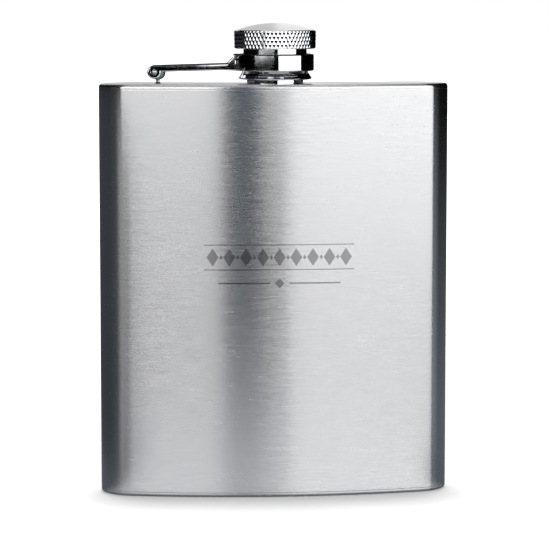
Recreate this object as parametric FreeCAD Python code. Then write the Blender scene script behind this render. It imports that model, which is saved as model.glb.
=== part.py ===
"""Curved stainless-steel hip flask with a captive screw cap, as an assembly of separate pieces.

Millimetres, +Z up. The origin lies on the resting face, on the axis that the neck and the cap share.
The body is a kidney section: the front face (-Y) bulges, the rear face (+Y) is hollowed to the same
centre, and both narrow sides are full rounds. A strap loops round the cap's skirt and runs towards -X
to a rivet in a small ball-headed post, so the unscrewed cap swings up and over the shoulder.
"""
import FreeCAD
import Part
import math
import os

from FreeCAD import Vector

# Body
BODY_WIDTH = 95.0
BODY_HEIGHT = 111.8
BODY_THICKNESS = 20.0
FRONT_RADIUS = 182.0
SHEET = 0.5
EDGE_RADIUS = 1.0
PLATE_RIM = 1.4

# Neck
NECK_BORE_RADIUS = 5.6
NECK_COLLAR_RADIUS = 7.65
NECK_COLLAR_HEIGHT = 1.2
NECK_FLANGE_RADIUS = 9.2
NECK_FLANGE_THICKNESS = 0.9
NECK_TOP = 121.0
NECK_ROOT_RADIUS = 6.75
NECK_CREST_RADIUS = 7.2
NECK_THREAD_START = 114.6
NECK_THREAD_TURNS = 3.4
THREAD_PITCH = 1.5

# Cap
HEAD_RADIUS = 11.05
HEAD_BOTTOM = 121.15
HEAD_SHOULDER = 126.15
HEAD_CHAMFER = 0.3
DOME_RADIUS = 10.2
DOME_TOP = 128.0
HEAD_WALL = 0.7
ROLLED_RIM = 0.6
SKIRT_RADIUS = 8.575
LIP_RADIUS = 9.95
LIP_BOTTOM = 112.9
LIP_WIDEST = 113.4
LIP_CONE_TOP = 115.5
INSERT_DISC = 0.9
RELIEF_RADIUS = 8.15
CAP_ROOT_RADIUS = 8.05
CAP_CREST_RADIUS = 7.72
CAP_THREAD_START = 117.6
CAP_THREAD_TURNS = 1.9
GASKET_RADIUS = 7.95
GASKET_SEAT_RADIUS = 8.2
GASKET_GAP = 0.05
GASKET_THICKNESS = 1.25
GASKET_HOLE_RADIUS = 2.0

# Strap, rivet and post
STRAP_SHEET = 0.9
RING_RADIUS = 10.5
RING_BOTTOM = 115.2
RING_TOP = 119.8
ARM_GAP = 2.7
PIN_X = -32.4
PIN_HEIGHT = 3.05
EYE_RADIUS = 1.87
ARM_BOTTOM_AT_EYE = 114.9
ARM_BOTTOM_AT_KNEE = 115.35
KNEE_BOTTOM_REACH = 14.3
FRONT_RAMP = ((12.6, 117.3), (10.1, 118.75), (8.9, RING_TOP))
REAR_RAMP = ((13.0, 117.3), (11.5, 118.9), (11.4, RING_TOP))
BEND_RADIUS = 0.6
RIVET_RADIUS = 0.6
RIVET_HEAD_RADIUS = 0.85
RIVET_HEAD_HEIGHT = 0.4
RIVET_RUNNING_GAP = 0.05
POST_HEAD_RADIUS = 2.1
POST_OFFSET = 0.9
POST_DROP = 0.1
POST_STEM_RADIUS = 0.5
POST_FOOT_RADIUS = 0.95
POST_FOOT_HEIGHT = 0.35
FLAT_GAP = 0.1

# Worked out from the dimensions above
HALF_THICKNESS = BODY_THICKNESS / 2
MID_RADIUS = FRONT_RADIUS - HALF_THICKNESS
END_ANGLE = math.asin((BODY_WIDTH / 2 - HALF_THICKNESS) / MID_RADIUS)
PIN_Z = BODY_HEIGHT + PIN_HEIGHT
PIN_Y = MID_RADIUS - math.sqrt(MID_RADIUS**2 - PIN_X**2)
ARM_LENGTH = math.hypot(PIN_X, PIN_Y)
ARM_TURN = -math.degrees(math.atan2(PIN_Y, -PIN_X))
ARM_HALF_WIDTH = ARM_GAP / 2 + STRAP_SHEET

Z_AXIS = Vector(0, 0, 1)
Y_AXIS = Vector(0, 1, 0)


def on_arc(radius, angle, z):
    """A point at that radius and angle from the front, about the body's centre of curvature."""
    return Vector(radius * math.sin(angle), MID_RADIUS - radius * math.cos(angle), z)


def kidney_face(inset, z):
    """The body's section, moved inwards by inset: two concentric arcs joined by two half rounds."""
    front = FRONT_RADIUS - inset
    back = FRONT_RADIUS - BODY_THICKNESS + inset
    end = HALF_THICKNESS - inset
    edges = [
        Part.Arc(on_arc(front, -END_ANGLE, z), on_arc(front, 0, z), on_arc(front, END_ANGLE, z)),
        Part.Arc(on_arc(back, -END_ANGLE, z), on_arc(back, 0, z), on_arc(back, END_ANGLE, z)),
    ]
    for side in (-1, 1):
        centre = on_arc(MID_RADIUS, side * END_ANGLE, z)
        outward = Vector(side * math.cos(END_ANGLE), math.sin(END_ANGLE), 0)
        edges.append(
            Part.Arc(
                on_arc(front, side * END_ANGLE, z),
                centre + outward * end,
                on_arc(back, side * END_ANGLE, z),
            )
        )
    wire = Part.Wire(Part.__sortEdges__([edge.toShape() for edge in edges]))
    return Part.Face(wire)


def edges_at(shape, z):
    """The edges of shape that lie wholly at height z."""
    return [
        edge
        for edge in shape.Edges
        if abs(edge.BoundBox.ZMin - z) < 1e-4 and abs(edge.BoundBox.ZMax - z) < 1e-4
    ]


def revolved(profile):
    """A full turn about Z of a closed outline. Each item is (r, z), or (r, z, mid_r, mid_z), where the
    last two numbers are a point on the arc that leads to the item from the one before it."""
    points = [Vector(item[0], 0, item[1]) for item in profile]
    edges = []
    for index, item in enumerate(profile):
        start = points[index - 1]
        end = points[index]
        if len(item) == 4:
            edges.append(Part.Arc(start, Vector(item[2], 0, item[3]), end).toShape())
        else:
            edges.append(Part.LineSegment(start, end).toShape())
    face = Part.Face(Part.Wire(edges))
    return face.revolve(Vector(0, 0, 0), Z_AXIS, 360)


def helical_ridge(root_radius, crest_radius, start_z, turns, buried=0.12):
    """A thread ridge from root_radius to crest_radius, outwards or inwards, buried in the wall."""
    side = 1 if crest_radius > root_radius else -1
    base = root_radius - side * buried
    half_base = THREAD_PITCH * 0.36
    half_crest = THREAD_PITCH * 0.12
    outline = [
        Vector(base, 0, start_z - half_base),
        Vector(crest_radius, 0, start_z - half_crest),
        Vector(crest_radius, 0, start_z + half_crest),
        Vector(base, 0, start_z + half_base),
    ]
    wire = Part.makePolygon(outline + outline[:1])
    helix = Part.makeHelix(THREAD_PITCH, THREAD_PITCH * turns, root_radius)
    helix.translate(Vector(0, 0, start_z))
    sweep = Part.BRepOffsetAPI.MakePipeShell(Part.Wire(helix.Edges))
    sweep.setFrenetMode(True)
    sweep.add(wire)
    sweep.build()
    sweep.makeSolid()
    return sweep.shape()


def body_shell():
    """The rolled sheet: one closed wall, open at both ends until the plates are welded on."""
    height = BODY_HEIGHT - 2 * PLATE_RIM
    outside = kidney_face(0, PLATE_RIM).extrude(Vector(0, 0, height))
    inside = kidney_face(SHEET, PLATE_RIM).extrude(Vector(0, 0, height))
    return outside.cut(inside)


def end_plate():
    """A pressed plate with a rounded edge and a short rim, lying face down at z = 0."""
    outside = kidney_face(0, 0).extrude(Vector(0, 0, PLATE_RIM))
    outside = outside.makeFillet(EDGE_RADIUS, edges_at(outside, 0))
    inside = kidney_face(SHEET, SHEET).extrude(Vector(0, 0, PLATE_RIM))
    inside = inside.makeFillet(EDGE_RADIUS - SHEET, edges_at(inside, SHEET))
    return outside.cut(inside)


def bottom_plate():
    return end_plate()


def top_plate():
    plate = end_plate().mirror(Vector(0, 0, BODY_HEIGHT / 2), Z_AXIS)
    hole = Part.makeCylinder(NECK_COLLAR_RADIUS, 2 * SHEET, Vector(0, 0, BODY_HEIGHT - 1.5 * SHEET))
    return plate.cut(hole)


def neck_spout():
    """The filling neck: a flange under the top plate, a plain collar, and an outside thread."""
    flange_top = BODY_HEIGHT - SHEET
    flange_bottom = flange_top - NECK_FLANGE_THICKNESS
    collar_top = BODY_HEIGHT + NECK_COLLAR_HEIGHT
    rim_round = (NECK_ROOT_RADIUS - NECK_BORE_RADIUS) / 2
    rim_middle = (NECK_ROOT_RADIUS + NECK_BORE_RADIUS) / 2
    tube = revolved(
        [
            (NECK_BORE_RADIUS, flange_bottom),
            (NECK_FLANGE_RADIUS, flange_bottom),
            (NECK_FLANGE_RADIUS, flange_top),
            (NECK_COLLAR_RADIUS, flange_top),
            (NECK_COLLAR_RADIUS, collar_top - 0.2),
            (NECK_COLLAR_RADIUS - 0.2, collar_top),
            (NECK_ROOT_RADIUS, collar_top),
            (NECK_ROOT_RADIUS, NECK_TOP - rim_round),
            (NECK_BORE_RADIUS, NECK_TOP - rim_round, rim_middle, NECK_TOP),
        ]
    )
    thread = helical_ridge(NECK_ROOT_RADIUS, NECK_CREST_RADIUS, NECK_THREAD_START, NECK_THREAD_TURNS)
    return tube.fuse(thread).removeSplitter()


def cap_shell():
    """The pressed head of the cap: a domed cup whose bottom edge is rolled in under the insert."""
    rise = DOME_TOP - HEAD_SHOULDER
    dome = (DOME_RADIUS**2 + rise**2) / (2 * rise)
    dome_centre = DOME_TOP - dome
    inner_dome = dome - HEAD_WALL
    inner_radius = HEAD_RADIUS - HEAD_WALL
    inner_edge = dome_centre + math.sqrt(inner_dome**2 - inner_radius**2)
    half = DOME_RADIUS / 2
    inner_half = inner_radius / 2
    return revolved(
        [
            (
                0,
                DOME_TOP - HEAD_WALL,
                inner_half,
                dome_centre + math.sqrt(inner_dome**2 - inner_half**2),
            ),
            (0, DOME_TOP),
            (DOME_RADIUS, HEAD_SHOULDER, half, dome_centre + math.sqrt(dome**2 - half**2)),
            (HEAD_RADIUS - HEAD_CHAMFER, HEAD_SHOULDER),
            (HEAD_RADIUS, HEAD_SHOULDER - HEAD_CHAMFER),
            (HEAD_RADIUS, HEAD_BOTTOM + HEAD_CHAMFER),
            (HEAD_RADIUS - HEAD_CHAMFER, HEAD_BOTTOM),
            (SKIRT_RADIUS, HEAD_BOTTOM),
            (SKIRT_RADIUS, HEAD_BOTTOM + ROLLED_RIM),
            (inner_radius, HEAD_BOTTOM + ROLLED_RIM),
            (inner_radius, inner_edge),
        ]
    )


def cap_insert():
    """The threaded sleeve: a disc held in the head, and a skirt that ends in a flared lip."""
    flange_bottom = HEAD_BOTTOM + ROLLED_RIM
    ceiling = NECK_TOP + GASKET_GAP + GASKET_THICKNESS + GASKET_GAP
    inner_radius = HEAD_RADIUS - HEAD_WALL
    relief_top = CAP_THREAD_START - THREAD_PITCH / 2
    sleeve = revolved(
        [
            (0, ceiling),
            (GASKET_SEAT_RADIUS, ceiling),
            (GASKET_SEAT_RADIUS, NECK_TOP),
            (CAP_ROOT_RADIUS, NECK_TOP),
            (CAP_ROOT_RADIUS, relief_top),
            (RELIEF_RADIUS, relief_top),
            (RELIEF_RADIUS, LIP_BOTTOM + 0.1),
            (RELIEF_RADIUS + 0.1, LIP_BOTTOM),
            (LIP_RADIUS - 0.5, LIP_BOTTOM),
            (LIP_RADIUS, LIP_WIDEST, LIP_RADIUS - 0.14, LIP_BOTTOM + 0.15),
            (SKIRT_RADIUS, LIP_CONE_TOP),
            (SKIRT_RADIUS, flange_bottom),
            (inner_radius, flange_bottom),
            (inner_radius, ceiling + INSERT_DISC),
            (0, ceiling + INSERT_DISC),
        ]
    )
    thread = helical_ridge(CAP_ROOT_RADIUS, CAP_CREST_RADIUS, CAP_THREAD_START, CAP_THREAD_TURNS)
    return sleeve.fuse(thread).removeSplitter()


def cap_gasket():
    """The loose sealing washer between the neck's rim and the insert's ceiling."""
    bottom = NECK_TOP + GASKET_GAP
    disc = Part.makeCylinder(GASKET_RADIUS, GASKET_THICKNESS, Vector(0, 0, bottom))
    disc = disc.makeFillet(0.2, edges_at(disc, bottom) + edges_at(disc, bottom + GASKET_THICKNESS))
    hole = Part.makeCylinder(GASKET_HOLE_RADIUS, 2 * GASKET_THICKNESS, Vector(0, 0, bottom - 0.5))
    return disc.cut(hole)


def along_arm(shape):
    """Turns a shape drawn with the arm along -X so that the arm points at the post."""
    shape.rotate(Vector(0, 0, 0), Z_AXIS, ARM_TURN)
    return shape


def strap_plan():
    """The strap seen from above, extruded over the ring's height and the eyes' height."""
    bottom = PIN_Z - EYE_RADIUS
    height = RING_TOP - bottom
    base = Vector(0, 0, bottom)
    ring = Part.makeCylinder(RING_RADIUS, height, base)
    ring = ring.cut(Part.makeCylinder(RING_RADIUS - STRAP_SHEET, height, base))
    reach = ARM_LENGTH + EYE_RADIUS
    joined_at = math.sqrt((RING_RADIUS - STRAP_SHEET / 2) ** 2 - ARM_HALF_WIDTH**2)
    mouth = Part.makeBox(RING_RADIUS, ARM_GAP, height, Vector(-RING_RADIUS, -ARM_GAP / 2, bottom))
    strap = ring.cut(mouth)
    for low_y in (-ARM_HALF_WIDTH, ARM_GAP / 2):
        arm = Part.makeBox(reach - joined_at, STRAP_SHEET, height, Vector(-reach, low_y, bottom))
        strap = strap.fuse(arm)
    strap = strap.removeSplitter()
    corner_x = -math.sqrt(RING_RADIUS**2 - ARM_HALF_WIDTH**2)
    bends = [
        edge
        for edge in strap.Edges
        if edge.BoundBox.ZLength > height - 0.01
        and abs(edge.BoundBox.Center.x - corner_x) < 0.05
        and abs(abs(edge.BoundBox.Center.y) - ARM_HALF_WIDTH) < 0.05
    ]
    return strap.makeFillet(BEND_RADIUS, bends)


def strap_side(ramp, start_y, depth):
    """One half of the strap's side view: an eye, a low arm, a ramp and the full height of the ring."""
    outline = [(-ARM_LENGTH, PIN_Z), (-ARM_LENGTH, PIN_Z + EYE_RADIUS)]
    outline += [(-reach, z) for reach, z in ramp]
    outline += [
        (RING_RADIUS + 1, RING_TOP),
        (RING_RADIUS + 1, RING_BOTTOM),
        (-RING_RADIUS, RING_BOTTOM),
        (-KNEE_BOTTOM_REACH, ARM_BOTTOM_AT_KNEE),
        (-ARM_LENGTH + EYE_RADIUS, ARM_BOTTOM_AT_EYE),
    ]
    points = [Vector(x, start_y, z) for x, z in outline]
    blade = Part.Face(Part.makePolygon(points + points[:1])).extrude(Y_AXIS * depth)
    eye = Part.makeCylinder(EYE_RADIUS, depth, Vector(-ARM_LENGTH, start_y, PIN_Z), Y_AXIS)
    return blade.fuse(eye)


def retaining_strap():
    """One strip of sheet, looped round the cap's skirt, with both ends drilled for the rivet."""
    hole = Part.makeCylinder(
        RIVET_RADIUS, 4 * ARM_HALF_WIDTH, Vector(-ARM_LENGTH, -2 * ARM_HALF_WIDTH, PIN_Z), Y_AXIS
    )
    reach = RING_RADIUS + 1
    side = strap_side(FRONT_RAMP, -reach, reach).fuse(strap_side(REAR_RAMP, 0, reach))
    strap = strap_plan().common(side).cut(hole).removeSplitter()
    return along_arm(strap)


def hinge_rivet():
    """The rivet that closes the strap's two eyes on the post, with a domed head at each end."""
    shank = 2 * ARM_HALF_WIDTH
    rivet = Part.makeCylinder(RIVET_RADIUS, shank, Vector(0, 0, -ARM_HALF_WIDTH))
    sphere = (RIVET_HEAD_RADIUS**2 + RIVET_HEAD_HEIGHT**2) / (2 * RIVET_HEAD_HEIGHT)
    slice_box = Part.makeBox(4, 4, RIVET_HEAD_HEIGHT, Vector(-2, -2, ARM_HALF_WIDTH))
    top = ARM_HALF_WIDTH + RIVET_HEAD_HEIGHT
    head = Part.makeSphere(sphere, Vector(0, 0, top - sphere)).common(slice_box)
    rivet = rivet.fuse(head).fuse(head.mirror(Vector(0, 0, 0), Z_AXIS)).removeSplitter()
    rivet.rotate(Vector(0, 0, 0), Vector(1, 0, 0), 90)
    rivet.translate(Vector(-ARM_LENGTH, 0, PIN_Z))
    return along_arm(rivet)


def hinge_post():
    """The post welded to the top plate: a flared foot, a stem and a ball flattened on two sides."""
    ball_z = PIN_Z - POST_DROP
    stem_z = BODY_HEIGHT + POST_FOOT_HEIGHT
    foot_base = Vector(0, 0, BODY_HEIGHT)
    foot = Part.makeCone(POST_FOOT_RADIUS, POST_STEM_RADIUS, POST_FOOT_HEIGHT, foot_base)
    stem = Part.makeCylinder(POST_STEM_RADIUS, ball_z - stem_z, Vector(0, 0, stem_z))
    ball = Part.makeSphere(POST_HEAD_RADIUS, Vector(0, 0, ball_z))
    width = ARM_GAP - 2 * FLAT_GAP
    low = Vector(-POST_HEAD_RADIUS, -width / 2, ball_z - POST_HEAD_RADIUS)
    flats = Part.makeBox(2 * POST_HEAD_RADIUS, width, 2 * POST_HEAD_RADIUS, low)
    post = foot.fuse(stem).fuse(ball.common(flats)).removeSplitter()
    post.translate(Vector(-ARM_LENGTH + POST_OFFSET, 0, 0))
    bore = Part.makeCylinder(
        RIVET_RADIUS + RIVET_RUNNING_GAP, 10, Vector(-ARM_LENGTH, -5, PIN_Z), Y_AXIS
    )
    return along_arm(post.cut(bore).removeSplitter())


PIECES = {
    "body_shell": body_shell,
    "top_plate": top_plate,
    "bottom_plate": bottom_plate,
    "neck_spout": neck_spout,
    "hinge_post": hinge_post,
    "hinge_rivet": hinge_rivet,
    "retaining_strap": retaining_strap,
    "cap_shell": cap_shell,
    "cap_insert": cap_insert,
    "cap_gasket": cap_gasket,
}


def main():
    os.makedirs("parts", exist_ok=True)
    for name, make in PIECES.items():
        shape = make()
        shape.exportStep(f"parts/{name}.step")
        solids = len(shape.Solids)
        print(f"{name}: {solids} solid, valid {shape.isValid()}, {shape.Volume:.1f} mm3")
    print(f"pin at {PIN_X:.3f}, {PIN_Y:.3f}, {PIN_Z:.3f}; arm turned {ARM_TURN:.3f} degrees")


main()
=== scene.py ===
"""Looks of the steel hip flask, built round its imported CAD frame.

Metres, +Z up, in the frame's own axes: the origin is on the neck's axis at the resting face, -Y is the
bulging front and the strap's hinge is towards -X.
"""

import math

import bmesh
import bpy
from mathutils import Euler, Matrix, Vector


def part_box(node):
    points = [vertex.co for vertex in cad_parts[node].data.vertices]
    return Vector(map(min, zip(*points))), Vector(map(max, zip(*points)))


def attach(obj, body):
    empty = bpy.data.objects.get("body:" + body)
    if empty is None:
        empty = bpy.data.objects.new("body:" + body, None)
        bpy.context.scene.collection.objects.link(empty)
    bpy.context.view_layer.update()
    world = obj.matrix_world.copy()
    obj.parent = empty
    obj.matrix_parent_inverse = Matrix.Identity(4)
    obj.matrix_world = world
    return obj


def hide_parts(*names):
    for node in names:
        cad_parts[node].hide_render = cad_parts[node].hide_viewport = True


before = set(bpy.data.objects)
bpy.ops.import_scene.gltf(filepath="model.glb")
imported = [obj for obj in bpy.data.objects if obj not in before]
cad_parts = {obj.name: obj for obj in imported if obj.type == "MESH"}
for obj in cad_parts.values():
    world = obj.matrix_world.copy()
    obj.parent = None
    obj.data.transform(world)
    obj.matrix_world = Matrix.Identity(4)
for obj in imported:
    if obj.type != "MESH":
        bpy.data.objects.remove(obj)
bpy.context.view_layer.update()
MM = 0.001

# Camera, on the front side, a little above the cap and turned towards the hinge's side
CAMERA_DISTANCE = 0.6948
CAMERA_HEIGHT = 0.13795
CAMERA_HEADING = math.radians(4.35)
CAMERA_PITCH = math.radians(6.424)
CAMERA_LENS = 168.1

# Body
BODY_LOW, BODY_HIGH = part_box("body_shell")
BODY_THICKNESS = 20.0 * MM
FRONT_RADIUS = 182.0 * MM
SHEET = 0.5 * MM
FRONT_STEPS = 96
END_STEPS = 36
HALF_THICKNESS = BODY_THICKNESS / 2
MID_RADIUS = FRONT_RADIUS - HALF_THICKNESS
END_ANGLE = math.asin((BODY_HIGH.x - HALF_THICKNESS) / MID_RADIUS)

# Etched frieze: the height of its middle, how far its marks stand proud and how deep they reach
ORNAMENT_HEIGHT = 65.6 * MM
MARK_PROUD = 0.012 * MM
MARK_DEPTH = 0.05 * MM

# Cap head
HEAD_LOW, HEAD_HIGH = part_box("cap_shell")
HEAD_RADIUS = HEAD_HIGH.x
HEAD_WALL = 0.7 * MM
HEAD_CHAMFER = 0.35 * MM
SKIRT_RADIUS = 8.575 * MM
DOME_RADIUS = 10.2 * MM
DOME_HEIGHT = 1.85 * MM
KNURL_STARTS = 64
KNURL_PITCH = 2.13 * MM
KNURL_DEPTH = 0.17 * MM
KNURL_FLATTENING = 1.05
COLUMNS_PER_START = 14

# Strap
STRAP_ROUNDING = 0.40 * MM

# Metals: the steel's colour in the grooves and on the crests of its brushing, how far the brushing tips
# the surface to either side, as a slope, and the plating's colour
STEEL_COLOURS = ((0.690, 0.694, 0.705), (0.783, 0.785, 0.793))
BRUSHING_SWAY = 0.020
CHROME_COLOUR = (0.86, 0.87, 0.89)

# Light: how bright the steel sees the floor beside it, and where the panels and cards stand
FLOOR_REFLECTED = 0.64
PANEL_DISTANCE = 0.95
REAR_PANEL_DISTANCE = 1.2
FRONT_PANEL_TOP = 0.9
LEFT_CARD, RIGHT_CARD = -0.085, 0.099
CARD_BACK = 0.30


# Small helpers ------------------------------------------------------------------------------------

def new_object(name, mesh):
    piece = bpy.data.objects.new(name, mesh)
    bpy.context.scene.collection.objects.link(piece)
    return piece


def mesh_from(name, vertices, faces, smooth_angle=None):
    mesh = bpy.data.meshes.new(name)
    mesh.from_pydata(vertices, [], faces)
    mesh.validate()
    if smooth_angle is not None:
        mesh.shade_smooth()
        mesh.set_sharp_from_angle(angle=smooth_angle)
    return mesh


# Materials ----------------------------------------------------------------------------------------

class Nodes:
    """A short way to write a material's node tree."""

    def __init__(self, name):
        self.material = bpy.data.materials.new(name)
        self.material.use_nodes = True
        self.tree = self.material.node_tree
        self.tree.nodes.clear()
        self.shader = self.add("ShaderNodeBsdfPrincipled")
        self.output = self.add("ShaderNodeOutputMaterial")
        self.join(self.shader.outputs["BSDF"], self.output.inputs["Surface"])
        self.place = self.add("ShaderNodeTexCoord").outputs["Object"]

    def add(self, kind, **settings):
        node = self.tree.nodes.new(kind)
        for key, value in settings.items():
            setattr(node, key, value)
        return node

    def join(self, out, into):
        self.tree.links.new(out, into)

    def noise(self, stretch, detail=2.0, roughness=0.5):
        """Noise whose features are about 1/stretch metres along each axis."""
        mapping = self.add("ShaderNodeMapping")
        mapping.inputs["Scale"].default_value = stretch
        self.join(self.place, mapping.inputs["Vector"])
        noise = self.add("ShaderNodeTexNoise")
        noise.inputs["Scale"].default_value = 1.0
        noise.inputs["Detail"].default_value = detail
        noise.inputs["Roughness"].default_value = roughness
        self.join(mapping.outputs["Vector"], noise.inputs["Vector"])
        return noise.outputs["Fac"]

    def remap(self, value, low, high, from_low=0.25, from_high=0.75):
        """Carries value from its own range over to low and high, and goes no further than these."""
        node = self.add("ShaderNodeMapRange")
        node.inputs["From Min"].default_value = from_low
        node.inputs["From Max"].default_value = from_high
        node.inputs["To Min"].default_value = low
        node.inputs["To Max"].default_value = high
        self.join(value, node.inputs["Value"])
        return node.outputs["Result"]

    def math(self, operation, first, second):
        node = self.add("ShaderNodeMath", operation=operation)
        for socket, value in zip(node.inputs, (first, second)):
            if isinstance(value, (int, float)):
                socket.default_value = value
            else:
                self.join(value, socket)
        return node.outputs["Value"]

    def mix_colour(self, factor, first, second):
        node = self.add("ShaderNodeMix", data_type="RGBA")
        self.join(factor, node.inputs["Factor"])
        for socket, colour in zip((node.inputs[6], node.inputs[7]), (first, second)):
            socket.default_value = (*colour, 1.0)
        return node.outputs[2]

    def mix_shader(self, factor, first, second):
        node = self.add("ShaderNodeMixShader")
        for socket, value in zip(node.inputs, (factor, first, second)):
            self.join(value, socket)
        return node.outputs[0]

    def vector(self, operation, *values):
        """A vector node. Its operation decides which of its outputs is of use."""
        node = self.add("ShaderNodeVectorMath", operation=operation)
        for socket, value in zip(node.inputs, values):
            self.join(value, socket)
        return node

    def bump(self, height, distance):
        node = self.add("ShaderNodeBump")
        node.inputs["Strength"].default_value = 1.0
        node.inputs["Distance"].default_value = distance
        self.join(height, node.inputs["Height"])
        return node.outputs["Normal"]

    def put(self, **values):
        """Sets or links the shader's sockets; an underscore stands for a space."""
        for key, value in values.items():
            socket = self.shader.inputs[key.replace("_", " ")]
            if isinstance(value, (int, float)):
                socket.default_value = value
            elif isinstance(value, tuple):
                socket.default_value = (*value, 1.0)
            else:
                self.join(value, socket)


def brushed_steel(name, shade=1.0):
    """Sheet steel with fine straight brushing that runs level round the flask's walls.

    The mottle of the brushing tips the surface a little along the walls, besides its change of colour.
    """
    nodes = Nodes(name)
    fine = nodes.noise((240, 240, 3300), detail=3.0, roughness=0.6)
    lines = nodes.noise((110, 110, 2600), detail=2.0, roughness=0.5)
    grain = nodes.noise((1000, 1000, 3200), detail=1.0, roughness=0.5)
    cloud = nodes.noise((24, 24, 24), detail=3.0)
    dark, light = (tuple(shade * part for part in colour) for colour in STEEL_COLOURS)
    mottle = nodes.math("ADD", nodes.math("MULTIPLY", fine, 0.7), nodes.math("MULTIPLY", grain, 0.3))
    tangent = nodes.add("ShaderNodeTangent", direction_type="RADIAL", axis="Z").outputs["Tangent"]
    sway = nodes.vector("SCALE", tangent)
    slope = nodes.remap(mottle, -BRUSHING_SWAY, BRUSHING_SWAY, 0.0, 1.0)
    nodes.join(slope, sway.inputs["Scale"])
    swayed = nodes.vector("ADD", nodes.bump(grain, 0.0005 * MM), sway.outputs[0])
    rough = nodes.math("ADD", nodes.remap(lines, 0.220, 0.268), nodes.remap(cloud, -0.008, 0.012))
    nodes.put(
        Base_Color=nodes.mix_colour(nodes.remap(mottle, 0.15, 0.85, 0.3, 0.7), dark, light),
        Metallic=1.0,
        Roughness=nodes.math("ADD", rough, nodes.remap(grain, -0.019, 0.019)),
        Anisotropic=0.97,
        Anisotropic_Rotation=0.25,
        Tangent=tangent,
        Normal=nodes.vector("NORMALIZE", swayed.outputs[0]).outputs[0],
    )
    return nodes.material


def chrome(name, roughness=0.045, waviness=0.02 * MM):
    """Polished plating with faint smudges and the slight waviness of pressed sheet."""
    nodes = Nodes(name)
    smudge = nodes.noise((160, 160, 160), detail=4.0, roughness=0.6)
    wave = nodes.noise((210, 210, 120), detail=1.0)
    smudged = tuple(0.93 * part for part in CHROME_COLOUR)
    nodes.put(
        Base_Color=nodes.mix_colour(nodes.remap(smudge, 0.0, 1.0), smudged, CHROME_COLOUR),
        Metallic=1.0,
        Roughness=nodes.remap(smudge, roughness * 0.6, roughness * 1.8),
        Normal=nodes.bump(wave, waviness),
    )
    return nodes.material


def satin(name, dark, light, roughness):
    """Metal that was matted before it was polished: a soft, even shine."""
    nodes = Nodes(name)
    grain = nodes.noise((1500, 1500, 1500), detail=2.0)
    cloud = nodes.noise((150, 150, 150), detail=3.0)
    clouded = nodes.remap(cloud, roughness, roughness + 0.05)
    nodes.put(
        Base_Color=nodes.mix_colour(nodes.remap(grain, 0.0, 1.0), dark, light),
        Metallic=1.0,
        Roughness=nodes.math("ADD", nodes.remap(grain, 0.0, 0.05), clouded),
        Normal=nodes.bump(grain, 0.003 * MM),
    )
    return nodes.material


def silicone():
    """Pale, slightly dusty washer material."""
    nodes = Nodes("washer_silicone")
    speckle = nodes.noise((900, 900, 900), detail=3.0)
    nodes.put(
        Base_Color=nodes.mix_colour(nodes.remap(speckle, 0.0, 1.0), (0.70, 0.69, 0.65), (0.80, 0.79, 0.75)),
        Roughness=nodes.remap(speckle, 0.42, 0.6),
        Specular_IOR_Level=0.4,
        Normal=nodes.bump(speckle, 0.01 * MM),
    )
    return nodes.material


def assign(piece, *materials):
    piece.data.materials.clear()
    for material in materials:
        piece.data.materials.append(material)


# Body ---------------------------------------------------------------------------------------------

def kidney_points(inset):
    """Points round the body's section, moved inwards by inset, starting at the front's left end."""
    points = []

    def arc(centre, radius, start, end, steps):
        for step in range(steps):
            angle = start + (end - start) * step / steps
            points.append((centre[0] + radius * math.sin(angle), centre[1] - radius * math.cos(angle)))

    middle = (0.0, MID_RADIUS)
    half = HALF_THICKNESS - inset
    ends = [
        (side * MID_RADIUS * math.sin(END_ANGLE), MID_RADIUS * (1 - math.cos(END_ANGLE)))
        for side in (1, -1)
    ]
    arc(middle, FRONT_RADIUS - inset, -END_ANGLE, END_ANGLE, FRONT_STEPS)
    arc(ends[0], half, END_ANGLE, END_ANGLE + math.pi, END_STEPS)
    arc(middle, FRONT_RADIUS - BODY_THICKNESS + inset, END_ANGLE, -END_ANGLE, FRONT_STEPS)
    arc(ends[1], half, math.pi - END_ANGLE, 2 * math.pi - END_ANGLE, END_STEPS)
    return points


def ring_wall(profile):
    """Closed walls made by carrying the kidney section along a closed profile of (inset, z)."""
    rings = [[(x, y, z) for x, y in kidney_points(inset)] for inset, z in profile]
    count = len(rings[0])
    vertices = [point for ring in rings for point in ring]
    faces = []
    for level in range(len(rings)):
        below = level * count
        above = (level + 1) % len(rings) * count
        for index in range(count):
            following = (index + 1) % count
            faces.append((below + index, below + following, above + following, above + index))
    return vertices, faces


def make_body():
    """The wall, with a narrow ground chamfer where it is welded to each plate."""
    low, high = BODY_LOW.z, BODY_HIGH.z
    weld = 0.06 * MM
    levels = 24
    outside = [(weld, low), (0.0, low + 2 * weld), (0.0, low + 3 * weld)]
    outside += [(0.0, low + (high - low) * level / levels) for level in range(1, levels)]
    outside += [(0.0, high - 3 * weld), (0.0, high - 2 * weld), (weld, high)]
    vertices, faces = ring_wall(outside + [(SHEET, high), (SHEET, low)])
    body = new_object("flask_body", mesh_from("flask_body", vertices, faces, math.radians(40)))
    assign(body, brushed_steel("brushed_body"))
    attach(body, "flask")
    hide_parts("body_shell")


# Etched ornament ----------------------------------------------------------------------------------

def on_front(along, z, proud):
    """A point on the bulging front, that far along it from the middle and that far proud of it."""
    angle = along / FRONT_RADIUS
    radius = FRONT_RADIUS + proud
    return (radius * math.sin(angle), MID_RADIUS - radius * math.cos(angle), z)


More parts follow.
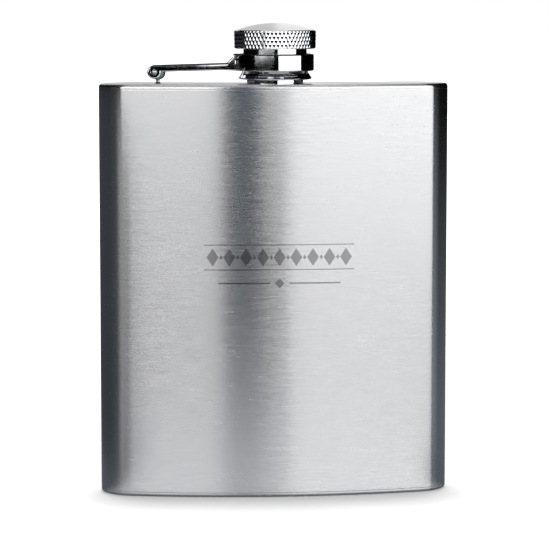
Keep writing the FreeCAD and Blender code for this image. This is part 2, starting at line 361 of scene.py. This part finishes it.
def add_mark(vertices, faces, top, bottom):
    """Adds one closed mark, given by its upper and lower outlines as (along, z) from left to right."""
    first = len(vertices)
    count = len(top)
    for proud in (MARK_PROUD, -MARK_DEPTH):
        for outline in (top, bottom):
            vertices += [on_front(along, z, proud) for along, z in outline]
    upper, lower = first, first + count
    upper_back, lower_back = first + 2 * count, first + 3 * count
    for index in range(count - 1):
        left, right = index, index + 1
        faces.append((lower + left, lower + right, upper + right, upper + left))
        faces.append((upper_back + left, upper_back + right, lower_back + right, lower_back + left))
        faces.append((upper + left, upper + right, upper_back + right, upper_back + left))
        faces.append((lower + right, lower + left, lower_back + left, lower_back + right))
    for end, order in ((0, 1), (count - 1, -1)):
        loop = (upper + end, upper_back + end, lower_back + end, lower + end)
        faces.append(loop[::order])


def make_ornament():
    """A plain frieze of lozenges between two rules, where the front's etched mark sits."""
    vertices, faces = [], []

    def lozenge(along, z, half_sizes):
        half_width, half_height = half_sizes
        tip = 0.02 * MM
        top = [(along - half_width, z + tip), (along, z + half_height), (along + half_width, z + tip)]
        bottom = [(along - half_width, z - tip), (along, z - half_height), (along + half_width, z - tip)]
        add_mark(vertices, faces, top, bottom)

    def rule(first, last, z, half_height):
        steps = 24
        places = [first + (last - first) * step / steps for step in range(steps + 1)]
        top = [(along, z + half_height) for along in places]
        bottom = [(along, z - half_height) for along in places]
        add_mark(vertices, faces, top, bottom)

    middle = 0.5 * MM
    pitch = 4.5 * MM
    large, small, lone = (1.6 * MM, 2.4 * MM), (0.45 * MM, 0.7 * MM), (1.3 * MM, 1.3 * MM)
    for step in range(-4, 5):
        lozenge(middle + step * pitch, ORNAMENT_HEIGHT, large)
        if step < 4:
            lozenge(middle + (step + 0.5) * pitch, ORNAMENT_HEIGHT, small)
    thin, thick = 0.13 * MM, 0.22 * MM
    reach = 4.5 * pitch
    border = 3.35 * MM
    for z in (ORNAMENT_HEIGHT + border, ORNAMENT_HEIGHT - border):
        rule(middle - reach, middle + reach, z, thin)
    lower_row = ORNAMENT_HEIGHT - 7.0 * MM
    near, far = 2.6 * MM, 16.5 * MM
    rule(middle - far, middle - near, lower_row, thick)
    rule(middle + near, middle + far, lower_row, thick)
    lozenge(middle, lower_row, lone)
    mark = new_object("etched_frieze", mesh_from("etched_frieze", vertices, faces))
    assign(mark, brushed_steel("etched_steel", shade=0.46))
    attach(mark, "flask")


# Cap head -----------------------------------------------------------------------------------------

def triangle_wave(value):
    """0 at whole numbers and 1 half way between them."""
    return 1 - abs(2 * (value - math.floor(value)) - 1)


def knurl_radius(angle, z):
    """The head's radius at that angle and height.

    The knurl is a field of pyramids, slightly flattened, between two families of helical grooves.
    """
    turn = angle * KNURL_STARTS / (2 * math.pi)
    rise = z / KNURL_PITCH
    height = min(triangle_wave(turn + rise), triangle_wave(turn - rise))
    return HEAD_RADIUS - KNURL_DEPTH * (1 - min(1.0, height * KNURL_FLATTENING))


def make_cap_head():
    """The knurled head with its satin dome, closed by its wall and a ceiling under the dome."""
    columns = KNURL_STARTS * COLUMNS_PER_START
    knurl_rows = 52
    dome_steps = 16
    low, high = HEAD_LOW.z, HEAD_HIGH.z
    shoulder = high - DOME_HEIGHT
    sphere_radius = (DOME_RADIUS**2 + DOME_HEIGHT**2) / (2 * DOME_HEIGHT)
    inside = HEAD_RADIUS - HEAD_WALL
    ceiling_edge, ceiling_middle = shoulder - 0.5 * MM, shoulder + 0.2 * MM
    profile = [(inside, ceiling_edge), (inside, low + HEAD_WALL), (SKIRT_RADIUS, low + HEAD_WALL)]
    profile += [(SKIRT_RADIUS, low), (HEAD_RADIUS - HEAD_CHAMFER, low)]
    first_knurled = len(profile)
    for row in range(knurl_rows + 1):
        z = low + (shoulder - low) * row / knurl_rows
        profile.append((HEAD_RADIUS - HEAD_CHAMFER + min(z - low, shoulder - z, HEAD_CHAMFER), z))
    knurled = range(first_knurled, len(profile))
    ledge_ends = (0.35 * MM, 0.12 * MM)
    profile += [(DOME_RADIUS + end, shoulder) for end in ledge_ends]
    for step in range(dome_steps):
        radius = DOME_RADIUS * math.cos(math.pi / 2 * step / dome_steps)
        profile.append((radius, high - sphere_radius + math.sqrt(sphere_radius**2 - radius**2)))
    vertices = []
    for level, (edge, z) in enumerate(profile):
        for column in range(columns):
            angle = 2 * math.pi * column / columns
            radius = min(edge, knurl_radius(angle, z)) if level in knurled else edge
            vertices.append((radius * math.cos(angle), radius * math.sin(angle), z))
    faces = []
    for level in range(len(profile) - 1):
        below = level * columns
        above = below + columns
        for index in range(columns):
            following = (index + 1) % columns
            faces.append((below + index, below + following, above + following, above + index))
    top = (len(profile) - 1) * columns
    apex, ceiling = len(vertices), len(vertices) + 1
    vertices += [(0, 0, high), (0, 0, ceiling_middle)]
    for index in range(columns):
        faces.append((top + index, top + (index + 1) % columns, apex))
    dome_faces = range(len(faces) - columns * (dome_steps + 1), len(faces))
    for index in range(columns):
        faces.append(((index + 1) % columns, index, ceiling))
    head = new_object("cap_head", mesh_from("cap_head", vertices, faces, math.radians(35)))
    dome_satin = satin("dome_satin", (0.80, 0.81, 0.83), (0.87, 0.88, 0.90), 0.17)
    assign(head, chrome("cap_chrome", roughness=0.06), dome_satin)
    for index in dome_faces:
        head.data.polygons[index].material_index = 1
    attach(head, "cap")
    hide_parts("cap_shell")


# Strap --------------------------------------------------------------------------------------------

def make_strap():
    """The CAD strap with rounded edges, all but those of the rivet's holes.

    Its wide faces are polished, and its edges that face up or steeply down get a near-black satin: a
    painted dark reflection.
    """
    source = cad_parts["retaining_strap"]
    rivet_low, rivet_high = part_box("hinge_rivet")
    pin = (rivet_low + rivet_high) / 2
    hole_reach = 0.8 * MM
    mesh = source.data.copy()
    mesh.name = "strap"
    work = bmesh.new()
    work.from_mesh(mesh)
    bmesh.ops.remove_doubles(work, verts=work.verts, dist=0.03 * MM)
    bmesh.ops.dissolve_limit(work, angle_limit=math.radians(0.5), verts=work.verts, edges=work.edges)
    weight = work.edges.layers.float.new("bevel_weight_edge")
    for edge in work.edges:
        at_hole = all(
            math.hypot(vertex.co.x - pin.x, vertex.co.z - pin.z) < hole_reach for vertex in edge.verts
        )
        sharp = len(edge.link_faces) == 2 and edge.calc_face_angle() > math.radians(40)
        edge[weight] = 1.0 if sharp and not at_hole else 0.0
    work.to_mesh(mesh)
    work.free()
    mesh.shade_smooth()
    rough = new_object("strap_rough", mesh)
    bevel = rough.modifiers.new("bevel", "BEVEL")
    bevel.limit_method = "WEIGHT"
    bevel.width = STRAP_ROUNDING
    bevel.segments = 5
    bevel.use_clamp_overlap = False
    bevel.harden_normals = True
    rough.modifiers.new("weigh", "WEIGHTED_NORMAL").keep_sharp = True
    graph = bpy.context.evaluated_depsgraph_get()
    finished = bpy.data.meshes.new_from_object(rough.evaluated_get(graph))
    bpy.data.objects.remove(rough)
    strap = new_object("strap", finished)
    # A near-black satin for the strap's edges: painted dark reflection
    dark_edge_satin = satin("painted_dark_edge", (0.04, 0.042, 0.046), (0.08, 0.083, 0.09), 0.12)
    assign(strap, chrome("strap_chrome", waviness=0.03 * MM), dark_edge_satin)
    # Edges that face up, however little, or steeply down get the near-black satin, a painted dark
    # reflection
    least_up, least_down = 0.12, 0.75
    for polygon in strap.data.polygons:
        polygon.material_index = int(polygon.normal.z > least_up or polygon.normal.z < -least_down)
    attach(strap, "arm")
    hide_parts("retaining_strap")


# CAD nodes that keep their shape ------------------------------------------------------------------

def dress_nodes():
    """Gives the nodes that keep their CAD meshes their materials."""
    plate = brushed_steel("satin_plate")
    polish = chrome("polished_chrome")
    for name in ("top_plate", "bottom_plate"):
        assign(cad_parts[name], plate)
    for name in ("neck_spout", "cap_insert"):
        assign(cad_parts[name], polish)
    assign(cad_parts["cap_gasket"], silicone())
    hinge = satin("hinge_steel", (0.32, 0.33, 0.35), (0.42, 0.43, 0.45), 0.08)
    for name in ("hinge_post", "hinge_rivet"):
        assign(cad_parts[name], hinge)


# Stage --------------------------------------------------------------------------------------------

def softbox(name, first, last, radiance, distance=PANEL_DISTANCE, bottom=0.0, top=1.5):
    """A soft panel from the azimuth first to the azimuth last, in degrees, seen from the flask.

    0 is in front of the flask and 90 is towards +X.
    """
    middle = math.radians((first + last) / 2)
    width = 2 * distance * math.tan(math.radians((last - first) / 2))
    light = bpy.data.lights.new(name, "AREA")
    light.shape = "RECTANGLE"
    light.size = width
    light.size_y = top - bottom
    light.energy = radiance * math.pi * width * light.size_y
    panel = bpy.data.objects.new(name, light)
    panel.location = (distance * math.sin(middle), -distance * math.cos(middle), (bottom + top) / 2)
    panel.rotation_euler = Euler((math.radians(90), 0, middle))
    panel.visible_camera = False
    bpy.context.scene.collection.objects.link(panel)
    return panel


def dark_card(name, corners, high_shade, low_shade=None, edge_shade=0.0, soft=False):
    """A dark card near the flask that only reflections see: it draws the steel's dark edges.

    Its shade changes from low_shade at the floor to high_shade near the height of the flask's shoulder,
    and its front edge is lighter by edge_shade up to that height.
    A soft card is clear at its front end and thickens backwards, and its front part fades away upwards.
    """
    card = new_object(name, mesh_from(name, corners, [tuple(range(len(corners)))]))
    nodes = Nodes(name)
    split = nodes.add("ShaderNodeSeparateXYZ")
    nodes.join(nodes.place, split.inputs[0])
    y, z = split.outputs["Y"], split.outputs["Z"]
    low_shade = high_shade if low_shade is None else low_shade
    glow = nodes.add("ShaderNodeEmission")
    glow.inputs["Color"].default_value = (0.88, 0.98, 1.12, 1)
    shade = nodes.remap(z, low_shade, high_shade, from_low=0.0, from_high=0.1)
    edge = nodes.remap(y, edge_shade, 0.0, from_low=-0.016, from_high=0.004)
    below_shoulder = nodes.remap(z, 1.0, 0.0, from_low=0.098, from_high=0.106)
    front_glow = nodes.math("MULTIPLY", edge, below_shoulder)
    nodes.join(nodes.math("ADD", shade, front_glow), glow.inputs["Strength"])
    surface = glow.outputs[0]
    if soft:
        fade = nodes.remap(z, 1.0, 0.0, from_low=0.106, from_high=0.135)
        thin = nodes.remap(y, 0.0, 0.6, from_low=-0.135, from_high=-0.09)
        front = nodes.math("MULTIPLY", thin, fade)
        back = nodes.remap(y, 0.0, 1.0, from_low=-0.060, from_high=-0.022)
        cover = nodes.math("MAXIMUM", front, back)
        clear = nodes.add("ShaderNodeBsdfTransparent").outputs[0]
        surface = nodes.mix_shader(cover, clear, surface)
    nodes.join(surface, nodes.output.inputs["Surface"])
    assign(card, nodes.material)
    card.visible_camera = False
    card.visible_diffuse = False
    card.visible_shadow = False


def upright_card(name, x, front, low, high, high_shade, **shades):
    """An upright card at x that runs from front to CARD_BACK in y and from low to high in z."""
    corners = [(x, front, low), (x, CARD_BACK, low), (x, CARD_BACK, high), (x, front, high)]
    dark_card(name, corners, high_shade, **shades)


def lying_card(name, outline, shade, z=0.5 * MM):
    """A card just above the floor, inside an outline of (x, y)."""
    dark_card(name, [(x, y, z) for x, y in outline], shade)


def make_floor():
    """A white floor whose own light dims near the flask, where the sun lights it and casts the shadow.

    Reflections see it only near the flask, as if the studio beyond were dark.
    """
    size = 6.0
    corners = [(-size, -size, 0), (size, -size, 0), (size, size, 0), (-size, size, 0)]
    floor = new_object("floor", mesh_from("floor", corners, [(0, 1, 2, 3)]))
    nodes = Nodes("floor")
    away = nodes.vector("LENGTH", nodes.place).outputs["Value"]
    near = nodes.remap(away, 1.0, 0.0, from_low=0.10, from_high=0.45)
    seen = nodes.math("SUBTRACT", 1.0, nodes.math("MULTIPLY", near, 0.75))
    mirrored = nodes.add("ShaderNodeEmission")
    mirrored.inputs["Color"].default_value = (0.98, 0.99, 1.02, 1)
    brightness = nodes.remap(away, FLOOR_REFLECTED, 0.0, from_low=0.08, from_high=0.34)
    nodes.join(brightness, mirrored.inputs["Strength"])
    is_mirrored = nodes.add("ShaderNodeLightPath").outputs["Is Glossy Ray"]
    surface = nodes.mix_shader(is_mirrored, nodes.shader.outputs["BSDF"], mirrored.outputs[0])
    nodes.join(surface, nodes.output.inputs["Surface"])
    nodes.put(
        Base_Color=(0.4, 0.4, 0.4),
        Roughness=0.9,
        Specular_IOR_Level=0.0,
        Emission_Color=(1.0, 1.0, 1.0),
        Emission_Strength=seen,
    )
    assign(floor, nodes.material)


def make_world():
    """White to the camera, dark to reflections, so that only the panels light the steel."""
    world = bpy.data.worlds.new("studio")
    bpy.context.scene.world = world
    world.use_nodes = True
    tree = world.node_tree
    tree.nodes.clear()
    seen = tree.nodes.new("ShaderNodeBackground")
    seen.inputs["Color"].default_value = (1, 1, 1, 1)
    felt = tree.nodes.new("ShaderNodeBackground")
    felt.inputs["Color"].default_value = (0.010, 0.012, 0.015, 1)
    path = tree.nodes.new("ShaderNodeLightPath")
    mix = tree.nodes.new("ShaderNodeMixShader")
    output = tree.nodes.new("ShaderNodeOutputWorld")
    tree.links.new(path.outputs["Is Camera Ray"], mix.inputs["Fac"])
    tree.links.new(felt.outputs[0], mix.inputs[1])
    tree.links.new(seen.outputs[0], mix.inputs[2])
    tree.links.new(mix.outputs[0], output.inputs["Surface"])


def make_lights():
    """Panels in front, behind and overhead, dark cards round the flask and a sun for its shadow."""
    softbox("softbox_left", -78, -6.7, 2.14, bottom=0.105, top=FRONT_PANEL_TOP)
    softbox("softbox_right", 6.5, 78, 2.09, top=FRONT_PANEL_TOP)
    softbox("softbox_right_edge", 1.2, 6.5, 1.9, bottom=0.17, top=FRONT_PANEL_TOP)
    gap = softbox("softbox_gap", -6.7, 1.7, 0.082, bottom=0.17, top=FRONT_PANEL_TOP)
    gap.data.color = (0.45, 0.95, 1.6)
    rear = REAR_PANEL_DISTANCE
    softbox("softbox_back_left", 175.6, 205, 0.62, distance=rear, bottom=0.12, top=1.6)
    softbox("softbox_back_right", 155, 175.6, 0.95, distance=rear, bottom=0.12, top=1.6)
    softbox("softbox_rear_left", 207, 242, 0.5, distance=rear, top=0.2)
    softbox("softbox_rear_right", 118, 153, 0.5, distance=rear, top=0.35)
    overhead = softbox("softbox_top", -30, 30, 0.75)
    overhead.location = (0, 0, 1.7)
    overhead.rotation_euler = Euler((0, 0, 0))

    split = 0.112
    upright_card("card_left", LEFT_CARD, -0.15, 0, split, 0.05, soft=True)
    upright_card("card_left_top", LEFT_CARD, -0.044, split, 0.155, 0.0)
    upright_card("card_right", RIGHT_CARD, -0.028, 0, 0.30, 0.0, low_shade=0.15, edge_shade=0.11)
    # A dark card round the base that only reflections see: a painted contact shadow in the floor's
    # reflection
    contact_shadow = kidney_points(-2.2 * MM)
    lying_card("painted_shadow_card", contact_shadow, 0.12, z=0.3 * MM)
    front_cloth = [(-0.029, -0.15), (0.009, -0.15), (0.015, -0.36), (-0.056, -0.36)]
    lying_card("card_front", front_cloth, 0.03)
    for name, low_x, high_x, front in (
        ("card_left_foot", LEFT_CARD, -0.049, -0.0594),
        ("card_right_foot", 0.049, RIGHT_CARD, -0.028),
    ):
        outline = [(low_x, front), (high_x, front), (high_x, CARD_BACK), (low_x, CARD_BACK)]
        lying_card(name, outline, 0.12)

    sun = bpy.data.lights.new("floor_light", "SUN")
    sun.energy = 5.2
    sun.angle = math.radians(14)
    shine = bpy.data.objects.new("floor_light", sun)
    shine.visible_glossy = False
    shine.rotation_euler = Euler((math.radians(-6), 0, 0))
    bpy.context.scene.collection.objects.link(shine)


def make_camera():
    """A long lens that looks down a little, with the flask's axis in the middle of the picture."""
    data = bpy.data.cameras.new("camera")
    data.lens = CAMERA_LENS
    data.sensor_width = 36.0
    camera = bpy.data.objects.new("camera", data)
    back = Vector((-math.sin(CAMERA_HEADING), -math.cos(CAMERA_HEADING), 0))
    camera.location = back * CAMERA_DISTANCE + Vector((0, 0, CAMERA_HEIGHT))
    camera.rotation_euler = Euler((math.pi / 2 - CAMERA_PITCH, 0, -CAMERA_HEADING))
    bpy.context.scene.collection.objects.link(camera)
    bpy.context.scene.camera = camera
    bpy.context.scene.view_settings.view_transform = "Standard"


make_body()
make_ornament()
make_cap_head()
make_strap()
dress_nodes()
make_world()
make_floor()
make_lights()
make_camera()
